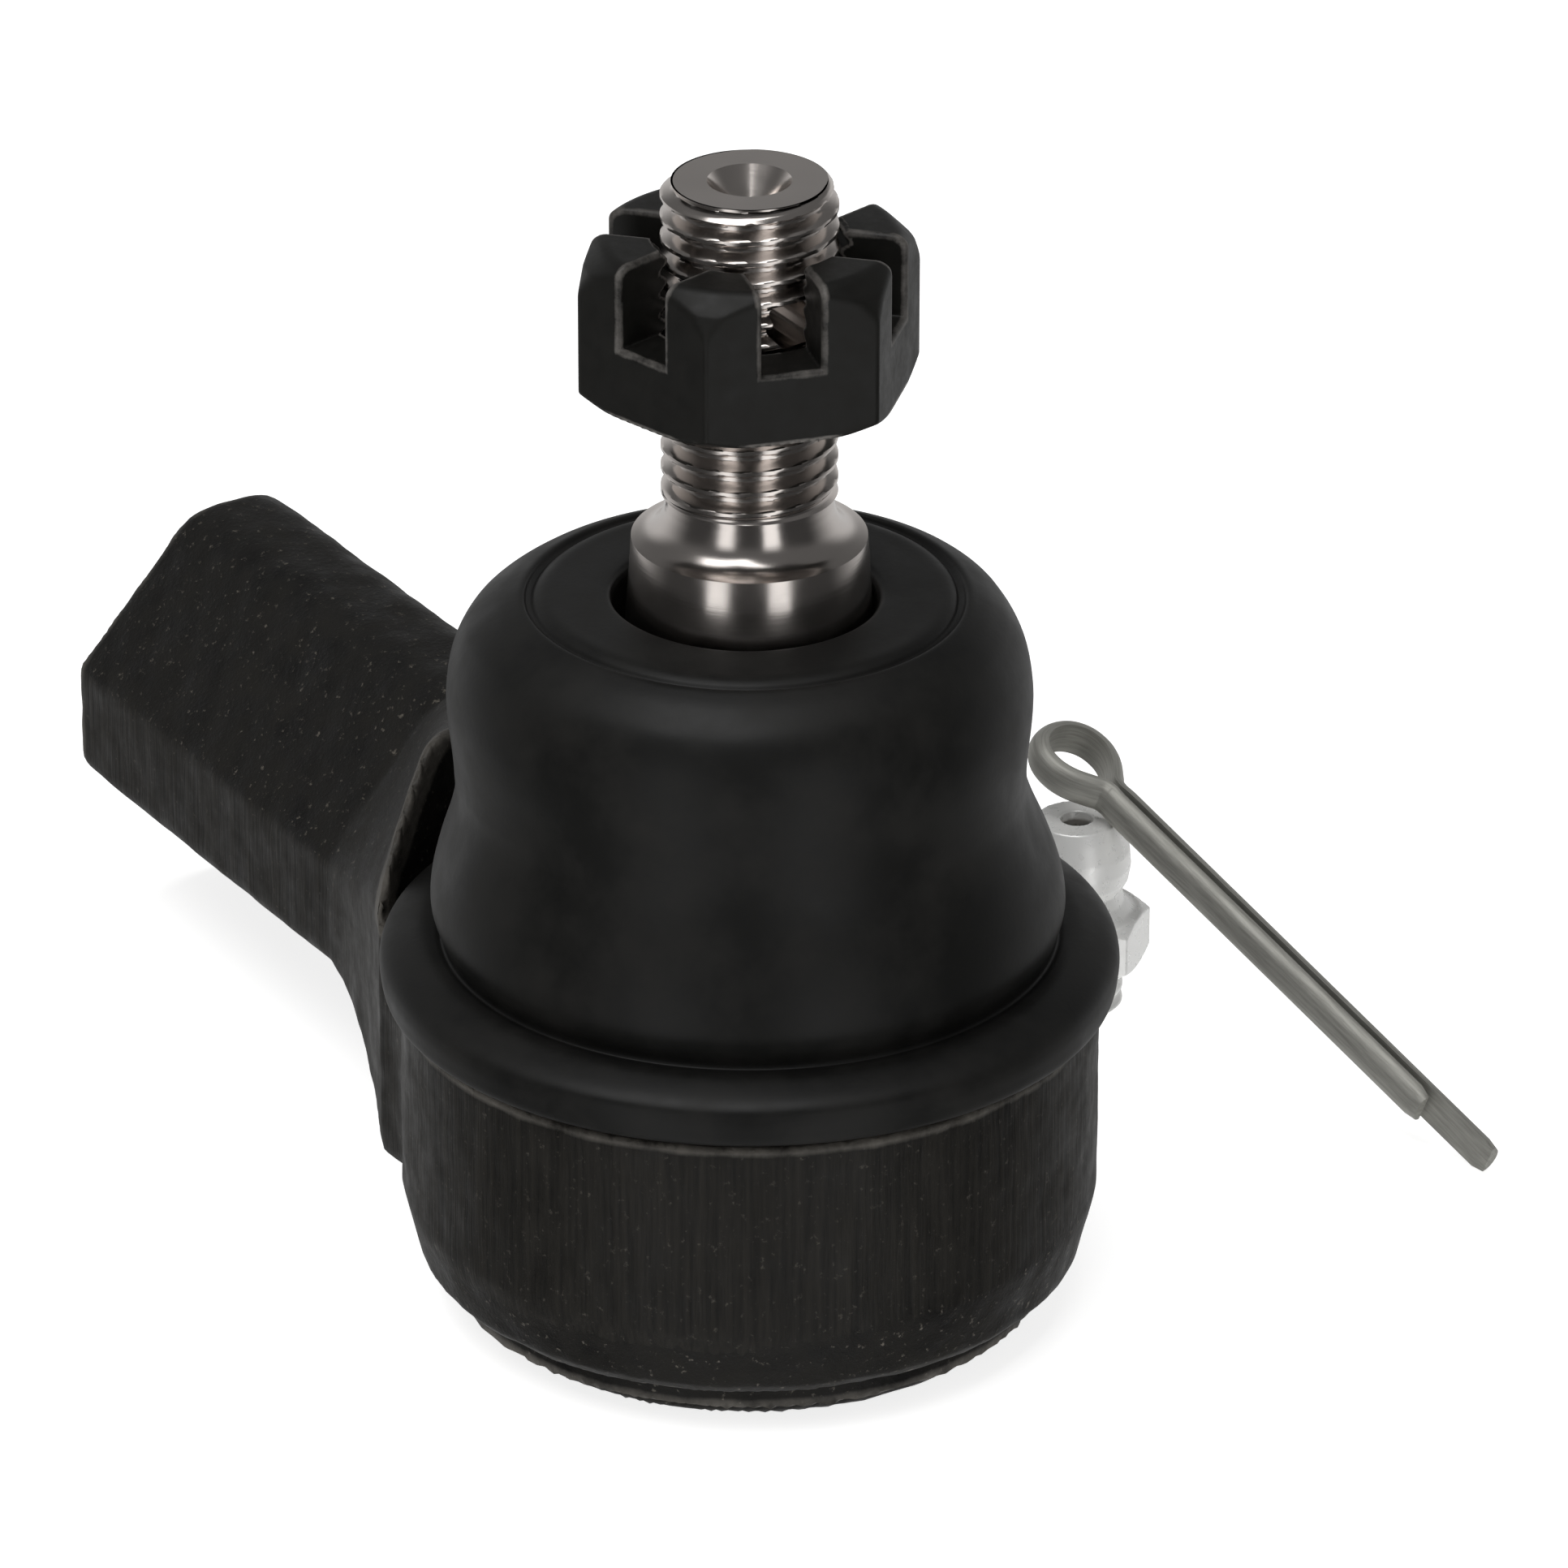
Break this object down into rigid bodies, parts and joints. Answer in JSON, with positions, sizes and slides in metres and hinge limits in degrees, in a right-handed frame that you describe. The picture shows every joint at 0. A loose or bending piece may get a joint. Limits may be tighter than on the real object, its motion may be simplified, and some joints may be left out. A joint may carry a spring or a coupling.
{
  "type": "tie rod end",
  "caption": "Ball joint in a short forged housing with a threaded socket, dust boot, tapered stud, castle nut, and a loose split pin and grease nipple.",
  "frame": {"origin": "centre of the flat rest face under the housing, on the ball stud's axis", "axes": "+Z along the ball stud, upwards; +X along the shank, towards the mouth of its threaded socket"},
  "size_m": [0.084, 0.0653, 0.0685],
  "materials": {
    "forged_steel": "matt black oxide",
    "turned_steel": "bright turned and polished",
    "black_oxide_nut": "satin black oxide",
    "boot_rubber": "matt",
    "bearing_resin": "moulded",
    "spring_steel": "oiled",
    "zinc_plate": "zinc plated",
    "plug_plastic": "moulded"
  },
  "bodies": {
    "housing": {"housing": "forged_steel", "upper_bearing_seat": "bearing_resin", "lower_bearing_seat": "bearing_resin", "preload_spring": "spring_steel", "end_cap": "zinc_plate", "grease_port_plug": "plug_plastic", "boot_base_ring": "spring_steel"},
    "boot": {"dust_boot": "boot_rubber"},
    "boot_lip": {"boot_lip_ring": "spring_steel"},
    "stud": {"ball_stud": "turned_steel"},
    "nut": {"castle_nut": "black_oxide_nut"},
    "nipple": {"grease_nipple": "zinc_plate", "nipple_spring": "spring_steel"},
    "nipple_ball": {"nipple_check_ball": "turned_steel"},
    "pin": {"split_pin": "zinc_plate"}
  },
  "joints": [
    {"name": "tilt_x", "type": "hinge", "parent": "housing", "child": "boot", "pos_m": [0, 0, 0.0115], "axis": [1, 0, 0], "range_deg": [-17, 17], "deforming": ["dust_boot"]},
    {"name": "tilt_y", "type": "hinge", "parent": "boot", "child": "boot_lip", "pos_m": [0, 0, 0.0115], "axis": [0, 1, 0], "range_deg": [-17, 17]},
    {"name": "stud_spin", "type": "hinge", "parent": "boot_lip", "child": "stud", "pos_m": [0, 0, 0.0115], "axis": [0, 0, 1], "continuous": true},
    {"name": "nut_travel", "type": "slide", "parent": "stud", "child": "nut", "axis": [0, 0, 1], "range_m": [-0.004, 0.013]},
    {"name": "nipple_lift", "type": "slide", "parent": "housing", "child": "nipple", "axis": [0, 0, 1], "range_m": [0, 0.04]},
    {"name": "nipple_ball_press", "type": "slide", "parent": "nipple", "child": "nipple_ball", "axis": [0, 0, -1], "range_m": [0, 0.0005], "stiffness_N_per_m": 400, "springref_m": -0.0005},
    {"name": "pin_lift", "type": "slide", "parent": "nipple", "child": "pin", "axis": [0, 0, 1], "range_m": [0, 0.03]}
  ]
}
